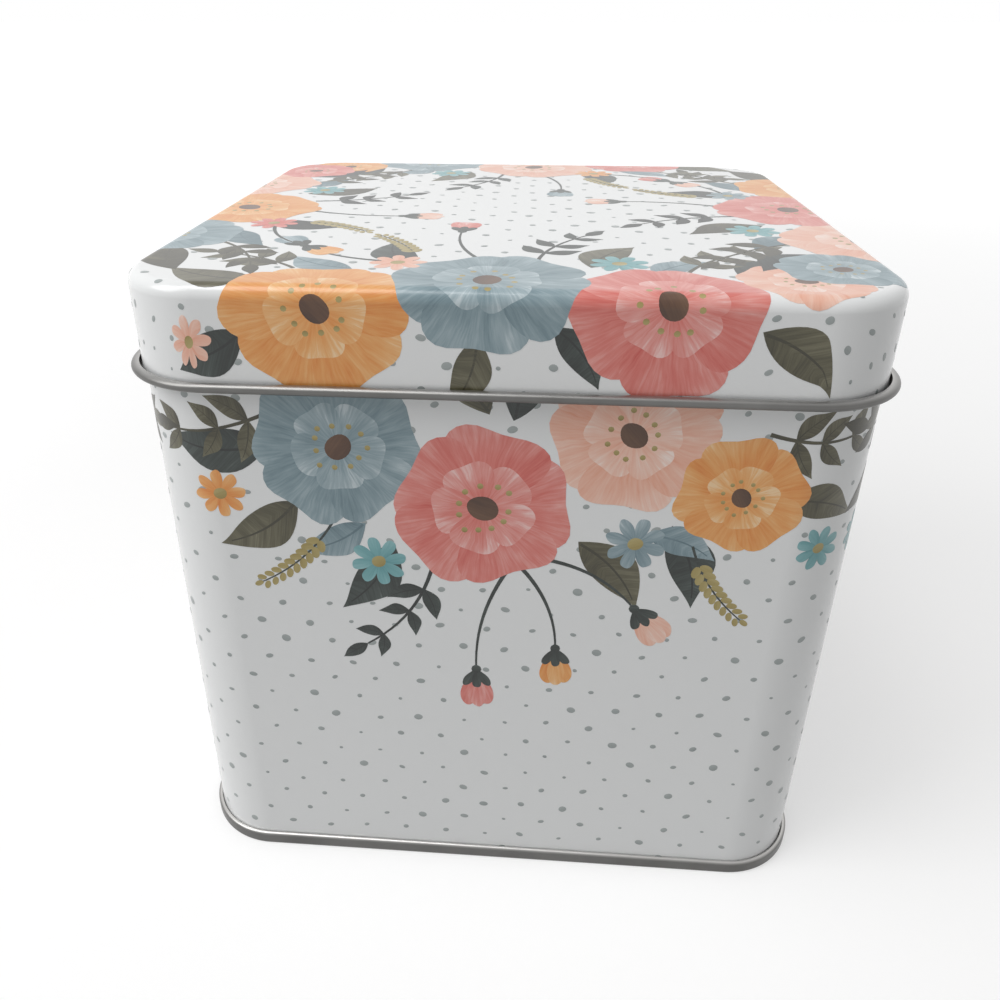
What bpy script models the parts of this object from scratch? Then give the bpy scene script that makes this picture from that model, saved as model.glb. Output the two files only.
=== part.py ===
"""A square tin box with a slip-on lid, made of its three tinplate pieces.

The body wall is one sheet: rolled square, lock-seamed at the back, curled inwards at the mouth, and
flanged at the foot. The base is a stamped panel whose edge is folded over that flange, which makes the
double seam that the tin stands on. The lid is drawn from one sheet and curled outwards at its lower
edge. Metres, +Z up, the front at -Y, the origin on the floor under the middle of the tin.
"""

import math

import bmesh
import bpy
from mathutils import Vector

# Driving sizes, in metres
BODY_WIDTH = 0.130  # over the outer faces of the wall, along X
BODY_DEPTH = 0.130  # over the outer faces of the wall, along Y
TIN_HEIGHT = 0.127  # from the floor to the top of the closed lid
CORNER_RADIUS = 0.015  # outer face of the wall, seen from above
SHEET = 0.00025  # thickness of the tinplate

# Lid
LID_HEIGHT = 0.018  # from the top face to the underside of the curl
LID_GAP = 0.0003  # between the lid and the body, at the skirt and at the mouth
LID_EDGE_RADIUS = 0.0025  # outer face, where the top turns down into the skirt
LID_CURL_WIDTH = 0.0022  # the curl is a little flattened, so it is wider than it is high
LID_CURL_HEIGHT = 0.0017
LID_CURL_SWEEP = math.radians(290)

# Mouth of the body
MOUTH_CURL_DIAMETER = 0.0020
MOUTH_CURL_SWEEP = math.radians(300)

# Double seam between the base and the body wall
SEAM_HEIGHT = 0.0029
SEAM_GAP = 0.0001  # between two folded layers
SEAM_INNER_SHOULDER = 0.00015  # middle of the sheet, at the top of the seam beside the wall
SEAM_OUTER_SHOULDER = 0.0005  # middle of the sheet, where the top turns down into the seam's face
HOOK_END_GAP = 0.0004  # from the end of each hook to the fold that it points into

# Base panel
BASE_RECESS = 0.0032  # from the floor to the underside of the panel's border
BASE_BEND_RADIUS = 0.0006  # middle of the sheet, where the border turns down into the seam
BASE_STEP_DROP = 0.0008  # how far the panel's middle lies below its border
BASE_STEP_RUN = 0.0012  # length of the slope between them
BASE_MIDDLE_CORNER_RADIUS = 0.0040  # lower edge of the slope, seen from above

# Side seam, folded on the inside of the back wall
SIDE_SEAM_WIDTH = 0.004
SIDE_SEAM_FROM_CORNER = 0.012  # from the end of the rounded corner to the seam's middle
SIDE_SEAM_END_GAP = 0.0006  # to the curl above it and the base panel below it
SIDE_GROOVE_WIDTH = 0.0004
SIDE_GROOVE_DEPTH = 0.0001
SIDE_SEAM_LAYERS = 2

# How finely the round parts are cut, and the tolerances of the modelling
CORNER_STEPS = 8
CURL_STEPS = 10
BEND_STEPS = 3
FOLD_STEPS = 4
SHARP_ANGLE = math.radians(50)
MERGE_DISTANCE = 0.000005
CUT_OVERRUN = 0.001

# Sizes that the pieces share, worked out from those above. A section is drawn as (out, up): out from
# the outer face of the body wall, and up from the floor.
HALF_SHEET = SHEET / 2
STRAIGHT_WIDTH = BODY_WIDTH - 2 * CORNER_RADIUS
STRAIGHT_DEPTH = BODY_DEPTH - 2 * CORNER_RADIUS
WALL_OUT = -HALF_SHEET
LID_WALL_OUT = LID_GAP + HALF_SHEET
MOUTH_CURL_UP = min(
    TIN_HEIGHT - LID_EDGE_RADIUS,  # nested in the lid's edge bend
    TIN_HEIGHT - SHEET - LID_GAP - MOUTH_CURL_DIAMETER / 2,  # or under its top sheet
)
LAYER_PITCH = SHEET + SEAM_GAP
CHUCK_WALL_OUT = WALL_OUT - LAYER_PITCH
BASE_HOOK_OUT = WALL_OUT + LAYER_PITCH
BODY_HOOK_OUT = BASE_HOOK_OUT + LAYER_PITCH
SEAM_WALL_OUT = BODY_HOOK_OUT + LAYER_PITCH
SEAM_FLOOR_TOP = SHEET + SEAM_GAP
PANEL_UP = BASE_RECESS + HALF_SHEET

# Finishes: colour, roughness and metallic value
ENAMEL_COLOUR = (0.86, 0.87, 0.86, 1.0)
ENAMEL_ROUGHNESS = 0.28
ENAMEL_METALLIC = 0.0
TINPLATE_COLOUR = (0.55, 0.55, 0.53, 1.0)
TINPLATE_ROUGHNESS = 0.35
TINPLATE_METALLIC = 1.0


def clear_scene():
    for obj in list(bpy.data.objects):
        bpy.data.objects.remove(obj)


def make_material(name, colour, roughness, metallic):
    material = bpy.data.materials.new(name)
    material.use_nodes = True
    shader = material.node_tree.nodes["Principled BSDF"]
    shader.inputs["Base Color"].default_value = colour
    shader.inputs["Roughness"].default_value = roughness
    shader.inputs["Metallic"].default_value = metallic
    return material


def oval_arc(centre, half_width, half_height, start, sweep, steps):
    """The points of an arc of an oval in the section, from the angle start through sweep."""
    angles = [start + sweep * step / steps for step in range(steps + 1)]
    return [
        centre + Vector((half_width * math.cos(angle), half_height * math.sin(angle)))
        for angle in angles
    ]


def arc(centre, radius, start, sweep, steps):
    """The points of an arc of a circle in the section, from the angle start through sweep."""
    return oval_arc(centre, radius, radius, start, sweep, steps)


def sheet_outline(path):
    """The outline of a sheet whose middle line is path: along one face and back along the other."""
    left, right = [], []
    last = len(path) - 1
    for i, point in enumerate(path):
        before = (path[max(i, 1)] - path[max(i, 1) - 1]).normalized()
        after = (path[min(i, last - 1) + 1] - path[min(i, last - 1)]).normalized()
        along = (before + after).normalized()
        aside = Vector((-along.y, along.x)) * HALF_SHEET / along.dot(before)
        left.append(point + aside)
        right.append(point - aside)
    return left + right[::-1]


def draw_section(bm, outline, closed):
    """Draws an outline at the front end of the right-hand wall, and returns its edges."""
    verts = [bm.verts.new((BODY_WIDTH / 2 + p.x, -STRAIGHT_DEPTH / 2, p.y)) for p in outline]
    ends = zip(verts, verts[1:] + verts[:1]) if closed else zip(verts, verts[1:])
    return [bm.edges.new(pair) for pair in ends]


def run_straight(bm, edges, way):
    """Extrudes a section along way, and returns its edges at the far end."""
    made = bmesh.ops.extrude_edge_only(bm, edges=edges)["geom"]
    verts = [item for item in made if isinstance(item, bmesh.types.BMVert)]
    bmesh.ops.translate(bm, verts=verts, vec=way)
    return [item for item in made if isinstance(item, bmesh.types.BMEdge)]


def turn_corner(bm, edges, centre):
    """Spins a section through a quarter turn about the upright axis at centre."""
    verts = list({vert for edge in edges for vert in edge.verts})
    spun = bmesh.ops.spin(
        bm, geom=verts + edges, cent=centre, axis=(0, 0, 1), angle=math.pi / 2, steps=CORNER_STEPS
    )
    return [item for item in spun["geom_last"] if isinstance(item, bmesh.types.BMEdge)]


def add_object(name, bm, material):
    mesh = bpy.data.meshes.new(name)
    bm.to_mesh(mesh)
    bm.free()
    if material:
        mesh.materials.append(material)
    obj = bpy.data.objects.new(name, mesh)
    bpy.context.scene.collection.objects.link(obj)
    return obj


def carry_round(name, outline, material, closed):
    """Carries a section once round the box. An outline that isn't closed has its two ends on the two
    faces of a flat panel, which are then filled."""
    bm = bmesh.new()
    edges = draw_section(bm, outline, closed)
    right, back = STRAIGHT_WIDTH / 2, STRAIGHT_DEPTH / 2
    runs = (
        ((0, STRAIGHT_DEPTH, 0), (right, back, 0)),
        ((-STRAIGHT_WIDTH, 0, 0), (-right, back, 0)),
        ((0, -STRAIGHT_DEPTH, 0), (-right, -back, 0)),
        ((STRAIGHT_WIDTH, 0, 0), (right, -back, 0)),
    )
    for way, corner_centre in runs:
        edges = turn_corner(bm, run_straight(bm, edges, way), corner_centre)
    bmesh.ops.remove_doubles(bm, verts=bm.verts, dist=MERGE_DISTANCE)
    rims = [edge for edge in bm.edges if edge.is_boundary]
    if rims:
        bmesh.ops.holes_fill(bm, edges=rims, sides=0)
    bmesh.ops.recalc_face_normals(bm, faces=bm.faces)
    obj = add_object(name, bm, material)
    obj.data.shade_smooth()
    obj.data.set_sharp_from_angle(angle=SHARP_ANGLE)
    return obj


def make_lid(material):
    """Top panel, edge bend, skirt, and the curl rolled outwards and up."""
    bend_radius = LID_EDGE_RADIUS - HALF_SHEET
    bend_centre = Vector((LID_WALL_OUT - bend_radius, TIN_HEIGHT - LID_EDGE_RADIUS))
    half_width = LID_CURL_WIDTH / 2 - HALF_SHEET
    half_height = LID_CURL_HEIGHT / 2 - HALF_SHEET
    curl_centre = Vector((LID_WALL_OUT + half_width, TIN_HEIGHT - LID_HEIGHT + LID_CURL_HEIGHT / 2))
    path = arc(bend_centre, bend_radius, math.pi / 2, -math.pi / 2, FOLD_STEPS)
    path += oval_arc(curl_centre, half_width, half_height, math.pi, LID_CURL_SWEEP, CURL_STEPS)
    return carry_round("lid", sheet_outline(path), material, closed=False)


def make_body_wall(material):
    """Mouth curl, wall, and the flange that is hooked up inside the double seam."""
    curl_radius = MOUTH_CURL_DIAMETER / 2 - HALF_SHEET
    curl_centre = Vector((WALL_OUT - curl_radius, MOUTH_CURL_UP))
    path = arc(curl_centre, curl_radius, MOUTH_CURL_SWEEP, -MOUTH_CURL_SWEEP, CURL_STEPS)
    fold_centre = Vector((BASE_HOOK_OUT, SEAM_FLOOR_TOP + HALF_SHEET + LAYER_PITCH))
    path += arc(fold_centre, LAYER_PITCH, math.pi, math.pi, FOLD_STEPS)
    path.append(Vector((BODY_HOOK_OUT, SEAM_HEIGHT - SHEET - HOOK_END_GAP)))
    wall = carry_round("body_wall", sheet_outline(path), material, closed=True)
    add_side_seam(wall)
    return wall


def make_base_panel(material):
    """Recessed panel, and its edge taken down to the floor, out, up and over the wall's flange."""
    bend_out = CHUCK_WALL_OUT - BASE_BEND_RADIUS
    step_out = BASE_MIDDLE_CORNER_RADIUS - CORNER_RADIUS
    path = [
        Vector((step_out, PANEL_UP - BASE_STEP_DROP)),
        Vector((step_out + BASE_STEP_RUN, PANEL_UP)),
    ]
    bend_centre = Vector((bend_out, PANEL_UP - BASE_BEND_RADIUS))
    path += arc(bend_centre, BASE_BEND_RADIUS, math.pi / 2, -math.pi / 2, BEND_STEPS)
    foot_up = HALF_SHEET + LAYER_PITCH
    inner_foot = Vector((CHUCK_WALL_OUT + LAYER_PITCH, foot_up))
    path += arc(inner_foot, LAYER_PITCH, math.pi, math.pi / 2, BEND_STEPS)
    outer_foot = Vector((SEAM_WALL_OUT - LAYER_PITCH, foot_up))
    path += arc(outer_foot, LAYER_PITCH, -math.pi / 2, math.pi / 2, BEND_STEPS)
    seam_top = SEAM_HEIGHT - HALF_SHEET
    outer, inner = SEAM_OUTER_SHOULDER, SEAM_INNER_SHOULDER
    outer_shoulder = Vector((SEAM_WALL_OUT - outer, seam_top - outer))
    path += arc(outer_shoulder, outer, 0, math.pi / 2, BEND_STEPS)
    inner_shoulder = Vector((BASE_HOOK_OUT + inner, seam_top - inner))
    path += arc(inner_shoulder, inner, math.pi / 2, math.pi / 2, BEND_STEPS)
    path.append(Vector((BASE_HOOK_OUT, SEAM_FLOOR_TOP + SHEET + HOOK_END_GAP)))
    return carry_round("base_panel", sheet_outline(path), material, closed=False)


def make_block(name, low, high):
    """A plain block between two corners, which only shapes another piece."""
    low, high = Vector(low), Vector(high)
    bm = bmesh.new()
    bmesh.ops.create_cube(bm, size=1)
    bmesh.ops.scale(bm, verts=bm.verts, vec=high - low)
    bmesh.ops.translate(bm, verts=bm.verts, vec=(low + high) / 2)
    block = add_object(name, bm, None)
    block.display_type = "WIRE"
    block.hide_render = True
    return block


def add_boolean(obj, operand, operation):
    modifier = obj.modifiers.new(operand.name, "BOOLEAN")
    modifier.operation = operation
    modifier.object = operand
    modifier.solver = "EXACT"


def add_side_seam(wall):
    """Lays the folded layers on the inside of the back wall, and scores their line on the outside."""
    middle = SIDE_SEAM_FROM_CORNER - STRAIGHT_WIDTH / 2
    left, right = middle - SIDE_SEAM_WIDTH / 2, middle + SIDE_SEAM_WIDTH / 2
    outer_face = BODY_DEPTH / 2
    inner_face = outer_face - SHEET
    foot = BASE_RECESS + SHEET + SIDE_SEAM_END_GAP
    top = MOUTH_CURL_UP - MOUTH_CURL_DIAMETER / 2 - SIDE_SEAM_END_GAP
    folds = make_block(
        "side_seam_folds",
        (left, inner_face - SIDE_SEAM_LAYERS * SHEET, foot),
        (right, outer_face - HALF_SHEET, top),
    )
    groove = make_block(
        "side_seam_groove",
        (right - SIDE_GROOVE_WIDTH, outer_face - SIDE_GROOVE_DEPTH, foot),
        (right, outer_face + CUT_OVERRUN, top),
    )
    add_boolean(wall, folds, "UNION")
    add_boolean(wall, groove, "DIFFERENCE")


def main():
    clear_scene()
    enamel = make_material("printed_enamel", ENAMEL_COLOUR, ENAMEL_ROUGHNESS, ENAMEL_METALLIC)
    tinplate = make_material(
        "bare_tinplate", TINPLATE_COLOUR, TINPLATE_ROUGHNESS, TINPLATE_METALLIC
    )
    make_body_wall(enamel)
    make_base_panel(tinplate)
    make_lid(enamel)


main()
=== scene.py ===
"""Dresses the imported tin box: metal sheets, white enamel, printed flowers, and a plain studio."""

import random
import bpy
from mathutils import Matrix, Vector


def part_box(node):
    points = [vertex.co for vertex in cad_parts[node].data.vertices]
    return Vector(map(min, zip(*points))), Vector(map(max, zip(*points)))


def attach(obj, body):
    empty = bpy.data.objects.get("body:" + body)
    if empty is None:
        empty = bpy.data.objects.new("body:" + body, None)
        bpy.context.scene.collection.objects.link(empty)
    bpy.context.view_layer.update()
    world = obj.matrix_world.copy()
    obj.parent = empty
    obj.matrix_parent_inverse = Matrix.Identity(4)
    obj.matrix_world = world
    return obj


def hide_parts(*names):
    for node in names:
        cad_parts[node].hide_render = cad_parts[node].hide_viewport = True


bl_info = {
    "name": "Printed slip-lid tin",
    "version": (1, 0, 0),
    "blender": (4, 5, 0),
    "location": "3D View > Sidebar > Tin Box",
    "description": "Builds a square printed tin with a slip-on lid around its packed frame",
    "category": "Add Mesh",
}

from collections import namedtuple
from math import atan2, cos, exp, pi, radians, sin

import bpy
from bpy.props import FloatProperty, FloatVectorProperty, PointerProperty
from mathutils import Vector
from mathutils.geometry import delaunay_2d_cdt

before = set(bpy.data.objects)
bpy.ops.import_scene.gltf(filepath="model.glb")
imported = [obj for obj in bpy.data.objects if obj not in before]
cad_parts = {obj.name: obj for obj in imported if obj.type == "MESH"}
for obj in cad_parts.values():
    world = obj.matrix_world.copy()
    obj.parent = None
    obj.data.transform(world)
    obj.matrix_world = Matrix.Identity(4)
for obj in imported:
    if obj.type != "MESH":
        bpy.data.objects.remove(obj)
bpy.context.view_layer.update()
LID_LOW, LID_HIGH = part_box("lid")
MM = 0.001
MM_PER_CM = 10
QUARTER = pi / 2
FULL_TURN = 2 * pi

# Folds of the sheet, in metres
SHEET = 0.00025
HALF_SHEET = SHEET / 2
LID_GAP = 0.0003
LID_CURL_WIDTH = 0.0022
LID_CURL_HEIGHT = 0.0017
LID_REACH = LID_GAP + LID_CURL_WIDTH
LID_CURL_SWEEP = radians(290)
MOUTH_CURL = 0.0020
MOUTH_CURL_SWEEP = radians(300)
SEAM_GAP = 0.0001
SEAM_LAYERS = 5
LAYER_PITCH = SHEET + SEAM_GAP
SEAM_INNER_SHOULDER = 0.00015
SEAM_OUTER_SHOULDER = 0.0005
HOOK_END_GAP = 0.0004
BASE_BEND_RADIUS = 0.0006
SIDE_SEAM_END_GAP = 0.0006
SIDE_GROOVE_WIDTH = 0.0004
SIDE_GROOVE_DEPTH = 0.0001

# Depths of the printed side's layers, below the sheet's outer face in the frame
METAL_DEPTH = 0.00005
COAT_DEPTH = 0.00003
INK_BACK_DEPTH = 0.000022

# The sheet and its coat, each from left to right of the sheet's middle line
METAL_LAYER = (HALF_SHEET - METAL_DEPTH, -HALF_SHEET)
COAT_LAYER = (HALF_SHEET - COAT_DEPTH, HALF_SHEET - METAL_DEPTH)

# How finely the round parts are cut and joined
CORNER_STEPS = 24
CURL_STEPS = 24
PRINTED_CURL_STEPS = CURL_STEPS // 5
BEND_STEPS = 10
FOLD_STEPS = 8
SMOOTH_ANGLE = radians(40)
MERGE_DISTANCE = 0.000004

# The upright corners, from the back right one round to the left
CORNERS = ((1, 1), (-1, 1), (-1, -1), (1, -1))


def setting(name, description, default, kind=FloatProperty, **more):
    return kind(name=name, description=description, default=default, **more)


def length(name, description, default):
    return setting(name, description, default, min=0.0, unit="LENGTH", precision=5)


def colour(name, description, default):
    return setting(name, description, default, FloatVectorProperty, min=0, max=1, subtype="COLOR")


class TinSizes(bpy.types.PropertyGroup):
    """Sizes of the tin, taken from its frame where that shows them"""

    width: length("Body width", "Wall, left to right", LID_HIGH.x - LID_LOW.x - 2 * LID_REACH)
    depth: length("Body depth", "Wall, front to back", LID_HIGH.y - LID_LOW.y - 2 * LID_REACH)
    height: length("Tin height", "Floor to the top of the closed lid", LID_HIGH.z)
    corner: length("Corner radius", "Outer face of the wall, seen from above", 0.015)
    lid_height: length("Lid height", "Top face to the foot of the curl", LID_HIGH.z - LID_LOW.z)
    lid_edge: length("Lid edge radius", "Where the top turns down into the skirt", 0.0025)
    seam_height: length("Seam height", "Double seam at the foot", 0.0029)
    recess: length("Base recess", "Floor to the underside of the panel's border", 0.0032)
    step_drop: length("Base step drop", "Border of the base panel to its middle", 0.0008)
    step_run: length("Base step run", "Length of the slope between the two", 0.0012)
    middle_corner: length("Base middle corner", "Radius of the slope's lower edge", 0.0040)
    side_seam_width: length("Side seam width", "Folded strip inside the back wall", 0.0040)
    side_seam_inset: length("Side seam inset", "From the corner's end to the seam", 0.0120)


class TinColours(bpy.types.PropertyGroup):
    """Colours of the enamel, the inks and the bare metal"""

    enamel: colour("Enamel", "White ground of the print", (0.84, 0.85, 0.85))
    metal: colour("Tinplate", "Bare sheet inside the tin and under it", (0.68, 0.67, 0.655))
    # Painted shade: the rim colour is much darker metal that stands in for the shade and dark
    # reflections on the lid's curl and the seam
    rim: colour("Shaded rim", "Bare sheet at the lid's curl and the seam", (0.165, 0.163, 0.158))
    coral: colour("Coral", "Large blossoms", (0.69, 0.185, 0.155))
    peach: colour("Peach", "Pale blossoms", (0.84, 0.46, 0.34))
    orange: colour("Orange", "Warm blossoms", (0.78, 0.325, 0.085))
    slate: colour("Slate blue", "Cool blossoms", (0.21, 0.295, 0.33))
    teal: colour("Teal", "Small cool flowers", (0.16, 0.38, 0.40))
    olive: colour("Olive", "Broad leaves", (0.088, 0.080, 0.042))
    charcoal: colour("Charcoal green", "Narrow leaves and stems", (0.020, 0.029, 0.025))
    umber: colour("Umber", "Eyes of the blossoms", (0.085, 0.035, 0.014))
    mustard: colour("Mustard", "Stamens", (0.38, 0.30, 0.105))
    mist: colour("Mist", "Dots on the ground", (0.35, 0.385, 0.38))


class TinStudio(bpy.types.PropertyGroup):
    """Camera and lights"""

    camera_place: setting(
        "Camera place",
        "Where the camera stands",
        (0.005041, -0.198633, 0.164842),
        FloatVectorProperty,
        subtype="TRANSLATION",
    )
    camera_turn: setting(
        "Camera turn",
        "Rotation of the camera about X, Y and Z",
        (radians(62.283), radians(-0.005), radians(4.512)),
        FloatVectorProperty,
        subtype="EULER",
    )
    lens: setting("Lens", "Focal length", 31.646, min=1.0, unit="CAMERA")
    shift_x: setting("Shift right", "Share of the frame", 0.03137)
    shift_y: setting("Shift up", "Share of the frame", -0.02425)
    key_power: setting("Key light", "Power of the lamp over the tin", 4.0, min=0.0, unit="POWER")
    side_power: setting("Side light", "Lamp at the upper left", 4.8, min=0.0, unit="POWER")
    sky: setting("Sky level", "Light that comes from all round", 0.36, min=0.0)
    near_glow: setting("Near glow", "Whitens the floor seen by the tin", 0.5, min=0.0)
    far_glow: setting("Far glow", "Whitens the floor seen far off", 0.92, min=0.0)


def activate(obj):
    bpy.ops.object.select_all(action="DESELECT")
    obj.select_set(True)
    bpy.context.view_layer.objects.active = obj


def named(name):
    """Gives the new active object and its mesh their name."""
    obj = bpy.context.object
    obj.name = name
    obj.data.name = name
    return obj


def settle(obj, body, slot, material, *replaced):
    """Dresses a finished piece and ties it to its body in the frame."""
    obj.data.materials.clear()
    obj.data.materials.append(material)
    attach(obj, body)
    if replaced:
        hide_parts(*replaced)


# Sections are drawn as (out, up): out from the outer face of the body wall, up from the floor


def arc(centre, radius, start, sweep, steps, squeeze=1.0):
    """Points along an arc, whose height is squeezed where it belongs to an oval."""
    turns = [start + sweep * step / steps for step in range(steps + 1)]
    return [centre + Vector((radius * cos(t), radius * squeeze * sin(t))) for t in turns]


def beside(path, distance):
    """The line that runs beside path, at a distance to its left."""
    ways = [(end - start).normalized() for start, end in zip(path, path[1:])]
    line = []
    for point, before, after in zip(path, ways[:1] + ways, ways + ways[-1:]):
        along = (before + after).normalized()
        line.append(point + Vector((-along.y, along.x)) * distance / along.dot(before))
    return line


def band(path, left, right):
    """Outline of a layer that follows path, from left to right of it."""
    return beside(path, left) + beside(path, right)[::-1]


def lid_paths(sizes):
    """The middle line of the lid's sheet, and the part of it whose outer side is printed."""
    bend_radius = sizes.lid_edge - HALF_SHEET
    skirt = LID_GAP + HALF_SHEET
    half_width = LID_CURL_WIDTH / 2 - HALF_SHEET
    half_height = LID_CURL_HEIGHT / 2 - HALF_SHEET
    foot = sizes.height - sizes.lid_height
    bend_centre = Vector((skirt - bend_radius, sizes.height - sizes.lid_edge))
    curl_centre = Vector((skirt + half_width, foot + LID_CURL_HEIGHT / 2))
    bend = arc(bend_centre, bend_radius, QUARTER, -QUARTER, BEND_STEPS)
    squeeze = half_height / half_width
    curl = arc(curl_centre, half_width, pi, LID_CURL_SWEEP, CURL_STEPS, squeeze)
    return bend + curl, bend + curl[:PRINTED_CURL_STEPS]


def wall_paths(sizes):
    """The middle line of the wall's sheet, and the part of it whose outer side is printed."""
    curl_radius = MOUTH_CURL / 2 - HALF_SHEET
    curl_centre = Vector((-HALF_SHEET - curl_radius, sizes.height - sizes.lid_edge))
    curl = arc(curl_centre, curl_radius, MOUTH_CURL_SWEEP, -MOUTH_CURL_SWEEP, CURL_STEPS)
    fold_centre = Vector((LAYER_PITCH - HALF_SHEET, LAYER_PITCH + HALF_SHEET + LAYER_PITCH))
    fold = arc(fold_centre, LAYER_PITCH, pi, pi, FOLD_STEPS)
    hook = Vector((fold[-1].x, sizes.seam_height - SHEET - HOOK_END_GAP))
    return curl + fold + [hook], curl + fold[:1]


def base_path(sizes):
    """The middle line of the base panel's sheet, from its step's foot to its hook's end."""
    panel_up = sizes.recess + HALF_SHEET
    foot_up = HALF_SHEET + LAYER_PITCH
    seam_top = sizes.seam_height - HALF_SHEET
    chuck_wall = -HALF_SHEET - LAYER_PITCH
    seam_wall = chuck_wall + (SEAM_LAYERS - 1) * LAYER_PITCH
    step_out = sizes.middle_corner - sizes.corner
    bend, inner, outer = BASE_BEND_RADIUS, SEAM_INNER_SHOULDER, SEAM_OUTER_SHOULDER
    path = [Vector((step_out, panel_up - sizes.step_drop))]
    path.append(Vector((step_out + sizes.step_run, panel_up)))
    for out, up, radius, start, sweep in (
        (chuck_wall - bend, panel_up - bend, bend, QUARTER, -QUARTER),
        (chuck_wall + LAYER_PITCH, foot_up, LAYER_PITCH, pi, QUARTER),
        (seam_wall - LAYER_PITCH, foot_up, LAYER_PITCH, -QUARTER, QUARTER),
        (seam_wall - outer, seam_top - outer, outer, 0, QUARTER),
        (seam_wall - 2 * LAYER_PITCH + inner, seam_top - inner, inner, QUARTER, QUARTER),
    ):
        path += arc(Vector((out, up)), radius, start, sweep, FOLD_STEPS)
    return path + [Vector((path[-1].x, LAYER_PITCH + SHEET + HOOK_END_GAP))]


def corner_centre(sizes):
    """How far to the side and back the centres of the upright corners lie."""
    return sizes.width / 2 - sizes.corner, sizes.depth / 2 - sizes.corner


def clamped(value, reach):
    """The value, kept within reach of zero."""
    return min(max(value, -reach), reach)


def carry_round(name, outline, sizes, panel):
    """Takes a section round the box by extrude and spin. Where panel is true, the outline's two
    ends lie on the two faces of a flat panel, which is then filled."""
    side, back = corner_centre(sizes)
    bpy.ops.mesh.primitive_circle_add(vertices=len(outline), radius=sizes.corner)
    obj = named(name)
    for vert, point in zip(obj.data.vertices, outline):
        vert.co = (sizes.width / 2 + point.x, -back, point.y)
    bpy.ops.object.mode_set(mode="EDIT")
    if panel:
        bpy.ops.mesh.select_all(action="DESELECT")
        bpy.ops.object.mode_set(mode="OBJECT")
        ends = {0, len(outline) - 1}
        for edge in obj.data.edges:
            edge.select = set(edge.vertices) == ends
        bpy.ops.object.mode_set(mode="EDIT")
        bpy.ops.mesh.delete(type="EDGE_FACE")
    bpy.ops.mesh.select_all(action="SELECT")
    at = Vector((side, -back, 0))
    for x, y in CORNERS:
        corner = Vector((x * side, y * back, 0))
        bpy.ops.mesh.extrude_region_move(TRANSFORM_OT_translate={"value": corner - at})
        bpy.ops.mesh.spin(steps=CORNER_STEPS, angle=-QUARTER, center=corner, axis=(0, 0, 1))
        at = corner
    bpy.ops.mesh.select_all(action="SELECT")
    bpy.ops.mesh.remove_doubles(threshold=MERGE_DISTANCE)
    if panel:
        bpy.ops.mesh.fill_holes(sides=0)
        bpy.ops.mesh.select_all(action="SELECT")
    bpy.ops.mesh.normals_make_consistent(inside=False)
    bpy.ops.object.mode_set(mode="OBJECT")
    return obj


def apply_modifier(obj, kind, **settings):
    activate(obj)
    bpy.ops.object.modifier_add(type=kind)
    modifier = obj.modifiers[-1]
    for name, value in settings.items():
        setattr(modifier, name, value)
    bpy.ops.object.modifier_apply(modifier=modifier.name)


def finish_sheet(obj, *settled):
    """Shades a sheet smooth, with its flat faces kept flat up to the bends, and settles it."""
    activate(obj)
    bpy.ops.object.shade_smooth_by_angle(angle=SMOOTH_ANGLE)
    apply_modifier(obj, "WEIGHTED_NORMAL", keep_sharp=True, weight=100)
    settle(obj, *settled)


def paint_rim_shade(obj, sizes, start, full):
    """Marks how much painted shade the metal gets: none up to start, and more and more from there
    to full.
    Both are distances out from the wall's face."""
    side, back = corner_centre(sizes)
    painted_shade = obj.data.attributes.new("painted_shade", "FLOAT", "POINT")
    for vert, mark in zip(obj.data.vertices, painted_shade.data):
        x, y, _ = vert.co
        off = Vector((x - clamped(x, side), y - clamped(y, back)))
        mark.value = min(max((off.length - sizes.corner - start) / (full - start), 0), 1)


def combine(obj, other, operation):
    """Joins other to obj, or cuts it away, and removes other."""
    corners = len(obj.data.vertices)
    apply_modifier(obj, "BOOLEAN", operation=operation, object=other)
    if len(obj.data.vertices) == corners:
        raise RuntimeError(f"{other.name} doesn't meet {obj.name}")
    bpy.data.objects.remove(other)


def side_block(name, sizes, width, inner, outer, foot):
    """A block from the side seam's right edge to the left, and from its foot to the seam's top.
    Inner and outer are distances out from the back wall's face."""
    right = sizes.side_seam_inset + sizes.side_seam_width / 2 + sizes.corner - sizes.width / 2
    face = sizes.depth / 2
    top = sizes.height - sizes.lid_edge - MOUTH_CURL / 2 - SIDE_SEAM_END_GAP
    low, high = Vector((right - width, face + inner, foot)), Vector((right, face + outer, top))
    bpy.ops.mesh.primitive_cube_add(size=1, location=(low + high) / 2, scale=high - low)
    bpy.ops.object.transform_apply(location=True, rotation=False, scale=True)
    return named(name)


# The print is drawn flat, in millimetres, on the blanks that the lid and the wall are made from

PRINT_TUCK = 1  # How far the wall's print runs down into the double seam
DELAUNAY_INSIDE = 1  # Triangulates only what lies inside the shapes and lines
STENCIL_TOLERANCE = 1e-5


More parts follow.
